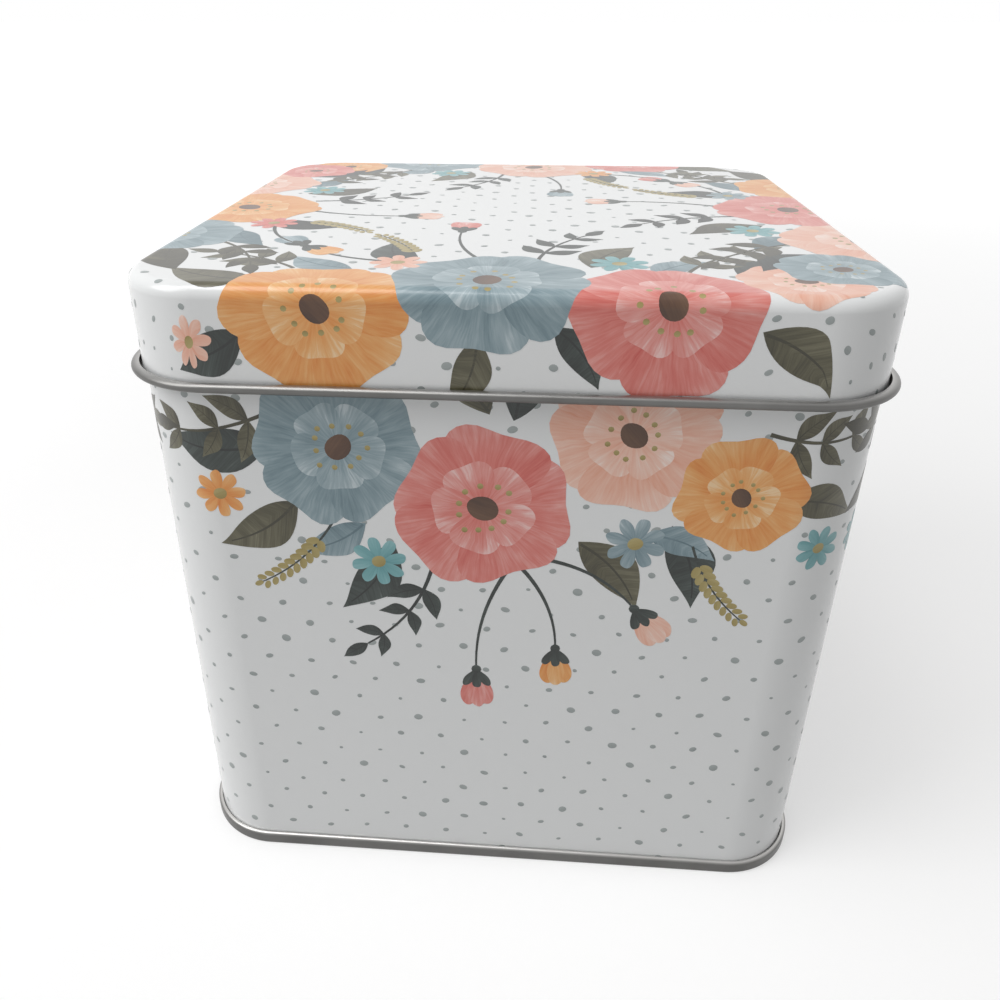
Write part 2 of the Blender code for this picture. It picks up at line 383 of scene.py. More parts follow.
class LidBlank:
    """The lid's flat blank: x and y as seen from above, on past the edge and down the skirt."""

    def __init__(self, sizes):
        self.core_x, self.core_y = (reach / MM for reach in corner_centre(sizes))
        self.edge = sizes.lid_edge / MM
        self.flat = (sizes.corner + LID_GAP + SHEET) / MM - self.edge
        self.top = sizes.height / MM
        self.bend = self.edge * QUARTER
        self.end = self.bend + (sizes.lid_height - LID_CURL_HEIGHT / 2) / MM - self.edge

    def split(self, point):
        """The nearest point of the core, the way out from it, and the run past the flat."""
        core = Vector((clamped(point.x, self.core_x), clamped(point.y, self.core_y)))
        away = point - core
        return core, away, away.length - self.flat

    def wrap(self, point, depth):
        """The place on the lid, depth below its outer face, and the way that the face looks."""
        core, away, run = self.split(point)
        if run <= 0:
            return Vector((point.x, point.y, self.top - depth)) * MM, Vector((0, 0, 1))
        way = away.normalized()
        tilt = min(run / self.edge, QUARTER)
        radius = self.edge - depth
        out = core + way * (self.flat + radius * sin(tilt))
        up = self.top - self.edge + radius * cos(tilt) - max(run - self.bend, 0)
        normal = Vector((way.x * sin(tilt), way.y * sin(tilt), cos(tilt)))
        return Vector((out.x, out.y, up)) * MM, normal

    def holds(self, point):
        return self.split(point)[2] < self.end

    def ring(self, run):
        """The closed line on the blank that runs at one distance past the flat."""
        points = []
        for quarter, (x, y) in enumerate(CORNERS):
            centre = Vector((x * self.core_x, y * self.core_y))
            points += arc(centre, self.flat + run, quarter * QUARTER, QUARTER, CORNER_STEPS)
        return points + points[:1]

    def lines(self):
        """The lines along which the blank is bent."""
        rings = [self.ring(self.bend * step / BEND_STEPS) for step in range(BEND_STEPS + 1)]
        outer = self.ring(self.end)
        spokes = [list(pair) for pair in zip(rings[0], outer)]
        return rings + [outer] + spokes[:-1]


class WallBlank:
    """The wall's flat blank: x along the wall from the front's middle, y up from the floor."""

    def __init__(self, sizes):
        self.radius = sizes.corner / MM
        self.sides = [sizes.width / MM - 2 * self.radius, sizes.depth / MM - 2 * self.radius] * 2
        self.turn = self.radius * QUARTER
        self.round = sum(self.sides) + 4 * self.turn
        seam = self.sides[0] / 2 - (sizes.side_seam_inset + sizes.side_seam_width / 2) / MM
        self.last = self.round / 2 + seam
        self.first = self.last - self.round + SIDE_GROOVE_WIDTH / MM
        self.low = sizes.seam_height / MM - PRINT_TUCK
        self.high = (sizes.height - sizes.lid_edge) / MM

    def wrap(self, point, depth):
        """The place on the wall, depth below its outer face, and the way that the face looks."""
        run = (point.x + self.sides[0] / 2) % self.round
        centre = Vector((-self.sides[0] / 2, -self.sides[1] / 2))
        for quarter, side in enumerate(self.sides):
            heading = quarter * QUARTER
            ahead = Vector((cos(heading), sin(heading)))
            if run <= side:
                centre += ahead * run
                break
            centre += ahead * side
            run -= side
            if run <= self.turn:
                heading += run / self.radius
                break
            run -= self.turn
        out = Vector((sin(heading), -cos(heading), 0))
        place = Vector((centre.x, centre.y, point.y)) + out * (self.radius - depth)
        return place * MM, out

    def holds(self, point):
        return self.first < point.x < self.last and self.low < point.y < self.high

    def lines(self):
        """The lines along which the blank is bent, and its edges."""
        across = [self.first, self.last]
        at = self.sides[0] / 2
        for quarter in range(4):
            for step in range(CORNER_STEPS + 1):
                x = at + self.turn * step / CORNER_STEPS
                across.append(x if x < self.last else x - self.round)
            at += self.turn + self.sides[(quarter + 1) % 4]
        uprights = [[Vector((x, self.low)), Vector((x, self.high))] for x in across]
        levels = (self.low, self.high)
        return uprights + [[Vector((self.first, y)), Vector((self.last, y))] for y in levels]

    def carry_over(self, shapes):
        """Lets each shape that runs past the side seam go on at the other edge of the blank."""
        carried = []
        for shape in shapes:
            carried.append(shape)
            reach = [point.x for point in shape.outline]
            for past, shift in ((max(reach) > self.last, -1), (min(reach) < self.first, 1)):
                if past:
                    step = Vector((shift * self.round, 0))
                    outline = [point + step for point in shape.outline]
                    carried.append(shape._replace(outline=outline, origin=shape.origin + step))
        return carried


# One printed shape: its outline, its ink and how much paler it is, its kind of brush marks, where
# they start and the way that they run, its length and width along and across them, and its seed
Shape = namedtuple("Shape", "outline ink lift brush origin turn length width seed")

# How a shape's outline wavers, and how its brush marks lie and fade
OUTLINE_SIDES = 30
OUTLINE_WOBBLE = 0.035
WOBBLE_WAVES = 3
FIRST_WAVE = 2
SEED_SPREAD = 50
SEED_STEP = 7
STROKE_MIDDLE = 0.6
VEIN_SLANT = 0.9
ALONG_LIFT = 0.34
ACROSS_LIFT = 0.22
INNER_LIFT = 0.17
RIB_LIFT = -0.45

# The dotted ground, in millimetres
DOT_PITCH = 8.5
DOT_ROW = 4.6
DOT_DRIFT = 0.55
DOT_RANGES = ((0.36, 0.92), (0.6, 0.95), (-0.5, 0.6))  # Of the radius, squeeze and turn
DOT_SIDES = 12

# The flowers, mostly as shares of their radius or of a petal's length
PETAL_HEAD = 0.8
PETAL_SHOULDER = 0.35
NOTCH_SPREAD = 0.45
BLOSSOM_PETALS = 5
PETAL_OVERLAP = 1.02
PETAL_SIZES = (0.93, 1.05)
INNER_PETAL = 0.56
EYE = 0.17
STAMENS = 11
STAMEN_REACH = (0.25, 0.33)
STAMEN_GRAIN = 0.034
DAISY_PETALS = 8
DAISY_PETAL_WIDTH = 0.52
DAISY_EYE = 0.26
CUP_FOOT = 0.11

# Stems and leaves, mostly as shares of their length, and grains in millimetres
STEM_STEPS = 12
STEM_TAPER = 0.55
LEAF_LEAN = 0.82
LEAF_POINT = 1.15
RIB_START = 0.04
RIB_END = 0.88
RIB_WIDTH = 0.07
SPRIG_PAIRS = 3
SPRIG_SPLAY = 0.85
SPRIG_SHRINK = 0.28
CATKIN_FOOT = 3
GRAIN_LENGTH = 1.15
GRAIN_AHEAD = 0.5
GRAIN_ASIDE = 0.95
GRAIN_SPLAY = 0.7
END_GRAIN = 0.9
GRAIN_SHAPE = {"squeeze": 0.62, "sides": 12}


def turned(point, angle):
    c, s = cos(angle), sin(angle)
    return Vector((point.x * c - point.y * s, point.x * s + point.y * c))


def heading_of(line):
    """The way that a line of points runs at its end."""
    ahead = line[-1] - line[-2]
    return atan2(ahead.y, ahead.x)


class Artist:
    """Draws shapes one over another on a blank, each a little uneven. Places and sizes are in
    millimetres, and an ink is its name, or its number among the inks of the side."""

    def __init__(self, seed):
        self.between = random.Random(seed).uniform
        self.shapes = []
        self.zero, self.turn, self.flip, self.inks = Vector((0, 0)), 0.0, 1, ()

    def draw(self, parts, zero, turn, side, inks):
        """Draws the parts of one side about its zero, mirrored on every second side."""
        self.zero, self.turn, self.flip, self.inks = zero, turn, 1 - 2 * (side % 2), inks
        for kind, *values in parts:
            kind(self, *values)

    def put(self, point):
        return self.zero + turned(Vector((point.x * self.flip, point.y)), self.turn)

    def add(self, points, ink, brush, origin, turn, size, lift=0.0, wobble=OUTLINE_WOBBLE):
        """Places an outline that was drawn about zero at origin, and roughens it."""
        phases = [self.between(0, FULL_TURN) for _ in range(WOBBLE_WAVES)]
        seed = self.between(0, SEED_SPREAD)
        origin = Vector(origin)
        outline = []
        for i, point in enumerate(points):
            share = FULL_TURN * i / len(points)
            waves = [sin(k * share + phase) for k, phase in enumerate(phases, FIRST_WAVE)]
            swing = sum(waves) / WOBBLE_WAVES
            outline.append(self.put(origin + turned(point * (1 + wobble * swing), turn)))
        ink = self.inks[ink] if isinstance(ink, int) else ink
        turn = self.turn + self.flip * turn
        start = self.put(origin)
        self.shapes.append(Shape(outline, ink, lift, brush, start, turn, *size, seed))

    def dots(self, low, high):
        """The ground's staggered dots, uneven in size and place."""
        for row in range(int((high.y - low.y) / DOT_ROW) + 1):
            for column in range(int((high.x - low.x) / DOT_PITCH) + 1):
                drift = Vector((self.between(-1, 1), self.between(-1, 1))) * DOT_DRIFT
                grid = Vector(((column + row % 2 / 2) * DOT_PITCH, row * DOT_ROW))
                radius, squeeze, turn = (self.between(*ends) for ends in DOT_RANGES)
                self.disc(low + grid + drift, radius, "mist", squeeze, turn, DOT_SIDES)

    def disc(self, place, radius, ink, squeeze=1.0, turn=0.0, sides=20):
        points = arc(Vector((0, 0)), radius, 0, FULL_TURN, sides)[:-1]
        points = [Vector((point.x, point.y * squeeze)) for point in points]
        self.add(points, ink, "disc", place, turn, (radius, radius))

    def petal(self, place, size, width, turn, ink, notch=0.1, lift=0.0):
        """A petal that widens from place outwards and ends in a shallow notch."""
        points = []
        for i in range(OUTLINE_SIDES):
            angle = FULL_TURN * i / OUTLINE_SIDES
            along = (0.5 - 0.5 * cos(angle)) ** PETAL_HEAD
            dent = notch * exp(-(((angle - pi) / NOTCH_SPREAD) ** 2))
            across = width / 2 * sin(angle) * along**PETAL_SHOULDER
            points.append(Vector((size * (along - dent), across)))
        self.add(points, ink, "petal", place, turn, (size, width), lift)

    def blossom(self, place, radius, ink, turn):
        """An open flower of notched petals, with a paler ring within, an eye and stamens."""
        width = FULL_TURN * radius / BLOSSOM_PETALS * PETAL_OVERLAP
        for i in range(BLOSSOM_PETALS):
            size = radius * self.between(*PETAL_SIZES)
            self.petal(place, size, width, turn + FULL_TURN * i / BLOSSOM_PETALS, ink)
        for i in range(BLOSSOM_PETALS):
            angle = turn + FULL_TURN * (i + 0.5) / BLOSSOM_PETALS
            self.petal(place, radius * INNER_PETAL, width / 2, angle, ink, 0.06, INNER_LIFT)
        self.disc(place, radius * EYE, "umber", 0.82, self.between(0, 3))
        for i in range(STAMENS):
            angle = FULL_TURN * (i + self.between(-0.2, 0.2)) / STAMENS
            reach = radius * self.between(*STAMEN_REACH)
            grain = Vector(place) + turned(Vector((reach, 0)), angle)
            self.disc(grain, radius * STAMEN_GRAIN, "mustard", sides=8)

    def daisy(self, place, radius, ink, turn):
        """A small flower of narrow petals."""
        width = radius * DAISY_PETAL_WIDTH
        for i in range(DAISY_PETALS):
            self.petal(place, radius, width, turn + FULL_TURN * i / DAISY_PETALS, ink, notch=0.0)
        self.disc(place, radius * DAISY_EYE, "mustard", squeeze=0.9, turn=0.4, sides=14)

    def stem(self, start, end, bow, thick, ink="charcoal", lift=0.0):
        """A curved, tapering stroke. Returns the points along its middle."""
        start, end = Vector(start), Vector(end)
        way = end - start
        knee = (start + end) / 2 + Vector((-way.y, way.x)) * bow
        shares = [step / STEM_STEPS for step in range(STEM_STEPS + 1)]
        line = [(1 - t) ** 2 * start + 2 * t * (1 - t) * knee + t * t * end for t in shares]
        left, right = [], []
        for i, point in enumerate(line):
            ahead = (line[min(i + 1, STEM_STEPS)] - line[max(i - 1, 0)]).normalized()
            aside = Vector((-ahead.y, ahead.x)) * thick / 2 * (1 - STEM_TAPER * shares[i])
            left.append(point - start + aside)
            right.append(point - start - aside)
        outline = right + left[::-1]
        self.add(outline, ink, "disc", start, 0.0, (way.length, way.length), lift, wobble=0.0)
        return line

    def leaf(self, place, size, turn, ink="charcoal", slim=0.46, curve=0.1):
        """A pointed leaf with its midrib, from its stalk end at place."""
        place = Vector(place)
        points = []
        for i in range(OUTLINE_SIDES):
            t = 2 * i / OUTLINE_SIDES
            side, t = (-1, t) if t <= 1 else (1, 2 - t)
            belly = sin(pi * t**LEAF_LEAN) ** LEAF_POINT * slim / 2
            across = side * belly + curve * sin(pi * t)
            points.append(Vector((size * t, size * across)))
        self.add(points, ink, "leaf", place, turn, (size, size * slim))
        start = place + turned(Vector((size * RIB_START, 0)), turn)
        end = place + turned(Vector((size * RIB_END, curve * size * 0.3)), turn)
        self.stem(start, end, curve * 1.7, size * slim * RIB_WIDTH, ink, RIB_LIFT)

    def bud(self, start, end, bow, size, ink):
        """A stem with a closed bud in a green cup, all in shares of the bud's size."""
        turn = heading_of(self.stem(start, end, bow, thick=0.8))
        for swing, long, wide, tint, lift in (
            (-0.22, 1.0, 0.5, ink, 0.0),
            (0.22, 1.0, 0.5, ink, 0.0),
            (0.0, 1.04, 0.46, ink, INNER_LIFT),
            (-0.55, 0.52, 0.24, "charcoal", 0.0),
            (0.0, 0.52, 0.24, "charcoal", 0.0),
            (0.55, 0.52, 0.24, "charcoal", 0.0),
        ):
            self.petal(end, size * long, size * wide, turn + swing, tint, 0.0, lift)
        self.disc(end, size * CUP_FOOT, "charcoal", sides=10)

    def sprig(self, start, end, bow, size, ink="charcoal"):
        """A stem with small leaves in pairs and one at its end."""
        line = self.stem(start, end, bow, 0.75, ink, RIB_LIFT / 2)
        for pair in range(SPRIG_PAIRS):
            at = int(STEM_STEPS * (pair + 1) / (SPRIG_PAIRS + 0.6))
            ahead = heading_of(line[: at + 2])
            shrink = 1 - SPRIG_SHRINK * pair / SPRIG_PAIRS
            long = size * shrink * self.between(0.9, 1.08)
            for swing in (SPRIG_SPLAY, -SPRIG_SPLAY):
                turn = ahead + swing + self.between(-0.12, 0.12)
                self.leaf(line[at], long, turn, ink, slim=0.44, curve=0.08 * swing)
        self.leaf(line[-1], size * 0.9, heading_of(line), ink, slim=0.42, curve=0.0)

    def catkin(self, start, end, bow):
        """A stem with small grains close along both of its sides."""
        line = self.stem(start, end, bow, thick=0.5)
        for at in range(CATKIN_FOOT, STEM_STEPS):
            ahead = heading_of(line[: at + 1])
            long = GRAIN_LENGTH * (1.25 - at / STEM_STEPS / 2)
            for side in (-1, 1):
                grain = line[at] + turned(Vector((GRAIN_AHEAD, side * GRAIN_ASIDE)), ahead)
                self.disc(grain, long, "mustard", turn=ahead + side * GRAIN_SPLAY, **GRAIN_SHAPE)
        self.disc(line[-1], END_GRAIN, "mustard", turn=heading_of(line), **GRAIN_SHAPE)


def cut_stencil(blank, shapes):
    """Cuts shapes and the blank's bend lines into triangles, each of the uppermost shape there.
    Returns the points, and each ink's triangles with their shape."""
    points, faces, edges = [], [], []
    for shape in shapes:
        corners = zip(shape.outline, shape.outline[1:] + shape.outline[:1])
        backward = sum(start.cross(end) for start, end in corners) < 0
        faces.append(list(range(len(points), len(points) + len(shape.outline))))
        points += shape.outline[::-1] if backward else shape.outline
    for line in blank.lines():
        first = len(points)
        points += line
        edges += [(first + i, first + i + 1) for i in range(len(line) - 1)]
    points, _, triangles, _, _, sources = delaunay_2d_cdt(
        points, edges, faces, DELAUNAY_INSIDE, STENCIL_TOLERANCE, True
    )
    inks = {}
    for triangle, source in zip(triangles, sources):
        a, b, c = (points[i] for i in triangle)
        if not source or not blank.holds((a + b + c) / 3):
            continue
        if (b - a).cross(c - a) < 0:
            triangle = triangle[::-1]
        shape = shapes[max(source)]
        inks.setdefault(shape.ink, []).append((tuple(triangle), shape))
    return points, inks


def brush_marks(point, shape):
    """Where a point lies among its shape's brush strokes, in centimetres, and how pale it is."""
    off = turned(point - shape.origin, -shape.turn)
    along, across = off.x / shape.length, off.y / shape.width
    if shape.brush == "petal":
        long, wide = off.length, atan2(off.y, off.x) * shape.length * STROKE_MIDDLE
        along = off.length / shape.length
    elif shape.brush == "leaf":
        long, wide = off.y, off.x - VEIN_SLANT * abs(off.y)
    else:
        long, wide = off
        along = STROKE_MIDDLE
    lift = shape.lift + ALONG_LIFT * (along - STROKE_MIDDLE) + ACROSS_LIFT * across
    return (long / MM_PER_CM, (wide + shape.seed * SEED_STEP) / MM_PER_CM), (lift, 0.0)


def lay_ink(name, blank, points, cut):
    """Makes the thin film of one ink: its face, its back and its rim, as one mesh with the true
    normals of the sheet that it lies on."""
    used = sorted({i for triangle, _ in cut for i in triangle})
    order = {index: at for at, index in enumerate(used)}
    fronts = [blank.wrap(points[i], 0.0) for i in used]
    backs = [blank.wrap(points[i], INK_BACK_DEPTH / MM)[0] for i in used]
    count = len(used)
    verts = [place for place, _ in fronts] + backs
    faces, normals, marks, sides = [], [], [], {}
    for triangle, shape in cut:
        a, b, c = (order[i] for i in triangle)
        near = [brush_marks(points[i], shape) for i in triangle]
        faces += [(a, b, c), (c + count, b + count, a + count)]
        normals += [fronts[i][1] for i in (a, b, c)] + [-fronts[i][1] for i in (c, b, a)]
        marks += near + near[::-1]
        for at, side in enumerate(((a, b), (b, c), (c, a))):
            sides[side] = (near[at], near[(at + 1) % 3])
    for (start, end), (mark, next_mark) in sides.items():
        if (end, start) in sides:
            continue
        faces.append((start, start + count, end + count, end))
        out = (verts[end] - verts[start]).cross(fronts[start][1]).normalized()
        normals += [out] * 4
        marks += [mark, mark, next_mark, next_mark]
    mesh = bpy.data.meshes.new(name)
    mesh.from_pydata(verts, [], faces, shade_flat=False)
    for at, layer in enumerate(("strokes", "paleness")):
        uv = mesh.uv_layers.new(name=layer)
        uv.data.foreach_set("uv", [value for mark in marks for value in mark[at]])
    mesh.normals_split_custom_set(normals)
    obj = bpy.data.objects.new(name, mesh)
    bpy.context.scene.collection.objects.link(obj)
    return obj


# The four blossoms' inks on each side, from the front round to the right
SIDE_INKS = (
    ("slate", "peach", "coral", "orange"),
    ("coral", "slate", "peach", "orange"),
    ("peach", "orange", "slate", "coral"),
    ("orange", "coral", "peach", "slate"),
)

LEAF, SPRIG, CATKIN = Artist.leaf, Artist.sprig, Artist.catkin
BUD, DAISY, BLOSSOM = Artist.bud, Artist.daisy, Artist.blossom

# What is drawn on each side, lowest first: x from its middle, y up the wall or out on the lid
SWAG = (
    (LEAF, (-36, 88), 18, 3.7, "olive"),
    (LEAF, (-40, 99), 19, 3.1),
    (LEAF, (-19, 80), 18, 4.1),
    (LEAF, (14, 82), 18, 5.4, "olive"),
    (LEAF, (30, 86), 18, 5.0),
    (LEAF, (48, 92), 15, 6.0, "olive"),
    (LEAF, (-2, 106), 17, 1.9, "olive"),
    (LEAF, (2, 105), 16, 1.1),
    (LEAF, (-24, 84), 14, 3.6, "slate"),
    (LEAF, (26, 84), 13, 5.9, "slate"),
    (SPRIG, (-38, 106), (-60, 101), 0.15, 8, "olive"),
    (SPRIG, (44, 104), (61, 104), -0.15, 8, "olive"),
    (SPRIG, (-12, 76), (-25, 57), 0.2, 7),
    (CATKIN, (-30, 84), (-45, 70), 0.15),
    (CATKIN, (34, 82), (45, 66), -0.15),
    (BUD, (2, 76), (-4, 52), -0.15, 9, 2),
    (BUD, (4, 76), (11, 58), 0.18, 8.5, 3),
    (BUD, (8, 78), (25, 68), 0.2, 9, 1),
    (DAISY, (-22, 76), 5.2, "teal", 0.2),
    (DAISY, (-50, 89), 4.8, 3, 0.1),
    (DAISY, (56, 82), 4.4, "teal", 0.5),
    (BLOSSOM, (-28, 99), 15.5, 0, 0.3),
    (BLOSSOM, (22, 103), 15.0, 1, 0.9),
    (BLOSSOM, (-3, 88), 17.0, 2, 0.1),
    (BLOSSOM, (41, 92), 11.5, 3, 0.5),
    (DAISY, (24, 82), 5.4, 0, 0.5),
)
SPRAY = (
    (LEAF, (-40, 70), 17, 2.5, "olive"),
    (LEAF, (-38, 54), 17, 3.9),
    (LEAF, (-14, 50), 18, 4.2, "olive"),
    (LEAF, (17, 50), 17, 5.0),
    (LEAF, (40, 62), 18, 5.9, "olive"),
    (LEAF, (42, 72), 16, 0.4),
    (LEAF, (4, 72), 14, 1.2, "olive"),
    (LEAF, (-8, 70), 13, 2.2),
    (LEAF, (26, 54), 15, 5.7, "slate"),
    (LEAF, (-24, 54), 14, 3.9, "slate"),
    (SPRIG, (-30, 52), (-44, 36), 0.15, 7.5, "olive"),
    (SPRIG, (36, 54), (52, 44), -0.15, 7.5, "olive"),
    (SPRIG, (-5, 46), (-14, 26), 0.15, 7),
    (CATKIN, (16, 46), (26, 28), -0.15),
    (BUD, (5, 46), (10, 24), 0.15, 8.5, 0),
    (BUD, (22, 48), (38, 38), 0.2, 8.5, 2),
    (DAISY, (-19, 47), 5.2, "teal", 0.3),
    (DAISY, (52, 74), 4.6, 3, 0.1),
    (BLOSSOM, (-26, 66), 16.0, 0, 0.4),
    (BLOSSOM, (30, 68), 15.5, 1, 1.0),
    (BLOSSOM, (3, 59), 16.5, 2, 0.2),
    (BLOSSOM, (-48, 56), 11.0, 3, 0.7),
    (DAISY, (19, 49), 5.0, 3, 0.1),
)


def design_wall(blank):
    """Draws the wall's print: a hanging swag in the middle of each side, on the dotted ground."""
    artist = Artist(seed=11)
    artist.dots(Vector((blank.first, blank.low)), Vector((blank.last, blank.high)))
    for side, inks in enumerate(SIDE_INKS):
        artist.draw(SWAG, Vector((side * blank.round / 4, 0)), 0.0, side, inks)
    return blank.carry_over(artist.shapes)


def design_lid(blank):
    """Draws the lid's print: a spray over the middle of each edge, on the dotted ground."""
    artist = Artist(seed=23)
    edge = blank.flat + blank.end
    reach = Vector((blank.core_x + edge, blank.core_y + edge))
    artist.dots(-reach, reach)
    for side, inks in enumerate(SIDE_INKS):
        artist.draw(SPRAY, Vector((0, 0)), (side + 2) * QUARTER, side, inks[2:] + inks[:2])
    return artist.shapes


# Noise scales are per metre, or per centimetre of brush stroke

WHITE = (1, 1, 1, 1)
MIX_FACTOR, MIX_FIRST, MIX_SECOND, MIX_COLOUR = 0, 6, 7, 2
VARNISH = {"Coat Weight": 0.25, "Coat Roughness": 0.08}
WASH_SHARE = 0.9
BLOTCH_SHARE = 0.35

# How strong the brush marks of each ink are, and how pale they get
INK_BRUSHES = {
    "coral": (0.85, 0.5),
    "peach": (0.85, 0.5),
    "orange": (0.85, 0.45),
    "slate": (0.85, 0.45),
    "teal": (0.6, 0.4),
    "olive": (0.95, 0.34),
    "charcoal": (0.95, 0.34),
    "umber": (0.5, 0.3),
    "mustard": (0.5, 0.3),
    "mist": (0.4, 0.2),
}


class Nodes:
    """Short ways to build the nodes of a material, or those of the world."""

    def __init__(self, owner):
        self.owner = owner
        owner.use_nodes = True
        self.tree = owner.node_tree
        shaders = ("BSDF_PRINCIPLED", "BACKGROUND")
        self.shader = next(node for node in self.tree.nodes if node.type in shaders)

    def fill(self, node, sockets):
        """Sets each socket to a plain value, or links it to another socket."""
        for socket, value in sockets.items():
            if isinstance(value, bpy.types.NodeSocket):
                self.tree.links.new(value, node.inputs[socket])
            else:
                node.inputs[socket].default_value = value

    def shade(self, sockets):
        """Fills the shader's own sockets. Returns what the nodes belong to."""
        self.fill(self.shader, sockets)
        return self.owner

    def add(self, kind, output, sockets=None, **settings):
        """Adds a node with its sockets filled. Returns one of its outputs."""
        node = self.tree.nodes.new("ShaderNode" + kind)
        for name, value in settings.items():
            setattr(node, name, value)
        self.fill(node, sockets or {})
        return node.outputs[output]

    def place(self):
        return self.add("TexCoord", "Object")

    def uv(self, name):
        return self.add("UVMap", "UV", uv_map=name)

    def stretch(self, vector, scale):
        return self.add("Mapping", "Vector", {"Vector": vector, "Scale": scale})

    def noise(self, vector, scale=1.0, detail=2.0, roughness=0.5):
        sockets = {"Vector": vector, "Scale": scale, "Detail": detail, "Roughness": roughness}
        return self.add("TexNoise", "Fac", sockets)

    def math(self, operation, first, second=0.0, third=0.0):
        return self.add("Math", 0, {0: first, 1: second, 2: third}, operation=operation)

    def ramp(self, factor, value, *stops):
        """Shades of one colour that keep its hue. A stop is its place and how much paler it is
        there, or darker where that is below zero."""
        socket = self.add("ValToRGB", "Color", {"Fac": factor})
        elements = socket.node.color_ramp.elements
        while len(elements) < len(stops):
            elements.new(1.0)
        for element, (place, share) in zip(elements, stops):
            element.position = place
            element.color = (*(channel ** (1 - share) for channel in value), 1.0)
        return socket

    def spread(self, value, low, high, start=0.25, end=0.75, clamp=False):
        """Carries a value over from one range, by default the middle of a noise, to another."""
        sockets = {"Value": value, "From Min": start, "From Max": end, "To Min": low}
        return self.add("MapRange", "Result", {**sockets, "To Max": high}, clamp=clamp)

    def bump(self, height, distance, strength):
        sockets = {"Height": height, "Distance": distance, "Strength": strength}
        return self.add("Bump", "Normal", sockets)

    def seen(self):
        """One where the camera looks, directly or through a reflection or glass, and else zero."""
        rays = self.tree.nodes.new("ShaderNodeLightPath").outputs
        shiny = self.math("MAXIMUM", rays["Is Glossy Ray"], rays["Is Transmission Ray"])
        return self.math("MAXIMUM", rays["Is Camera Ray"], shiny)


def enamel_material(colours):
    """White stoved enamel under gloss varnish, with a faint unevenness."""
    n = Nodes(bpy.data.materials.new("white_enamel"))
    place = n.place()
    cloud = n.noise(place, scale=18.0, detail=3.0)
    wear = n.noise(place, scale=45.0)
    wave = n.noise(place, scale=14.0, detail=0.0)
    white = n.ramp(cloud, colours.enamel, (0.2, -0.12), (0.8, 0.0))
    gloss = n.spread(wear, low=0.19, high=0.24)
    normal = n.bump(wave, distance=0.00015, strength=0.5)
    return n.shade({"Base Color": white, "Roughness": gloss, "Normal": normal, **VARNISH})


def ink_material(name, value, streaks, palest):
    """Opaque ink that keeps the marks of a dry brush."""
    n = Nodes(bpy.data.materials.new(name))
    strokes = n.uv("strokes")
    paleness = n.add("SeparateXYZ", "X", {0: n.uv("paleness")})
    bristles = n.noise(n.stretch(strokes, scale=(1.6, 26.0, 1.0)), detail=4.0, roughness=0.62)
    washes = n.noise(n.stretch(strokes, scale=(1.2, 5.0, 1.0)))
    blotch = n.noise(n.place(), scale=130.0, detail=3.0)
    tone = n.math("MULTIPLY_ADD", bristles, streaks, paleness)
    tone = n.math("MULTIPLY_ADD", washes, streaks * WASH_SHARE, tone)
    tone = n.math("MULTIPLY_ADD", blotch, BLOTCH_SHARE, tone)
    middle = (streaks * (1 + WASH_SHARE) + BLOTCH_SHARE) / 2
    ink = n.ramp(
        n.math("SUBTRACT", tone, middle - 0.5),
        value,
        (0.12, -0.45),
        (0.40, -0.06),
        (0.58, palest * 0.25),
        (0.80, palest * 0.75),
        (0.96, palest * 1.35),
    )
    gloss = n.spread(bristles, low=0.30, high=0.37)
    normal = n.bump(bristles, distance=0.00002, strength=0.5)
    return n.shade({"Base Color": ink, "Roughness": gloss, "Normal": normal, **VARNISH})


def tinplate_material(colours):
    """Satin tinplate with the faint grain of its rolling, much darker where painted shade is marked
    at its rim.
    """
    n = Nodes(bpy.data.materials.new("bare_tinplate"))
    place = n.place()
    grain = n.noise(n.stretch(place, scale=(40.0, 40.0, 1600.0)), detail=3.0)
    smudges = n.noise(place, scale=70.0, detail=3.0, roughness=0.55)
    # Painted shade: where the rim is marked, the bare metal turns to a much darker copy of itself
    # in the rim colour
    painted_shade = n.add("Attribute", "Fac", attribute_name="painted_shade")
    bright, shaded_metal = (
        n.ramp(smudges, value, (0.3, -0.18), (0.7, 0.0)) for value in (colours.metal, colours.rim)
    )
    sockets = {MIX_FACTOR: painted_shade, MIX_FIRST: bright, MIX_SECOND: shaded_metal}
    sheet = n.add("Mix", MIX_COLOUR, sockets, data_type="RGBA")
    satin = n.spread(smudges, low=0.32, high=0.40)
    normal = n.bump(grain, distance=0.00001, strength=0.4)
    return n.shade({"Base Color": sheet, "Roughness": satin, "Normal": normal, "Metallic": 1.0})


def print_blank(blank, shapes, prefix, body, slot):
    """Lays each ink of a print as a piece of its own."""
    colours = bpy.context.scene.tin_colours
    points, cuts = cut_stencil(blank, shapes)
    for ink, cut in sorted(cuts.items()):
        name = prefix + ink
        material = ink_material(name + "_ink", getattr(colours, ink), *INK_BRUSHES[ink])
        settle(lay_ink(name, blank, points, cut), body, slot, material)


# The studio, in metres

FLOOR_SIZE = 40.0
TIN_MIDDLE = Vector((0, 0, 0.06))


def add_floor(near_glow, far_glow):
    """A wide pale floor that shows as white away from the tin, and keeps the tin's shadow."""
    bpy.ops.mesh.primitive_plane_add(size=FLOOR_SIZE)
    floor = named("floor")
    n = Nodes(bpy.data.materials.new("floor_paint"))
    place = n.place()
    paint = n.spread(n.noise(place, scale=3.0), 0.50, 0.52, start=0.3, end=0.7, clamp=True)
    away = n.add("VectorMath", "Value", {0: place}, operation="LENGTH")
    glow = n.spread(away, near_glow, far_glow, start=0.2, end=1.4, clamp=True)
    strength = n.math("MULTIPLY", n.seen(), glow)
    n.shade({"Base Color": paint, "Roughness": 0.9})
    n.shade({"Emission Color": WHITE, "Emission Strength": strength})
    floor.data.materials.append(n.owner)


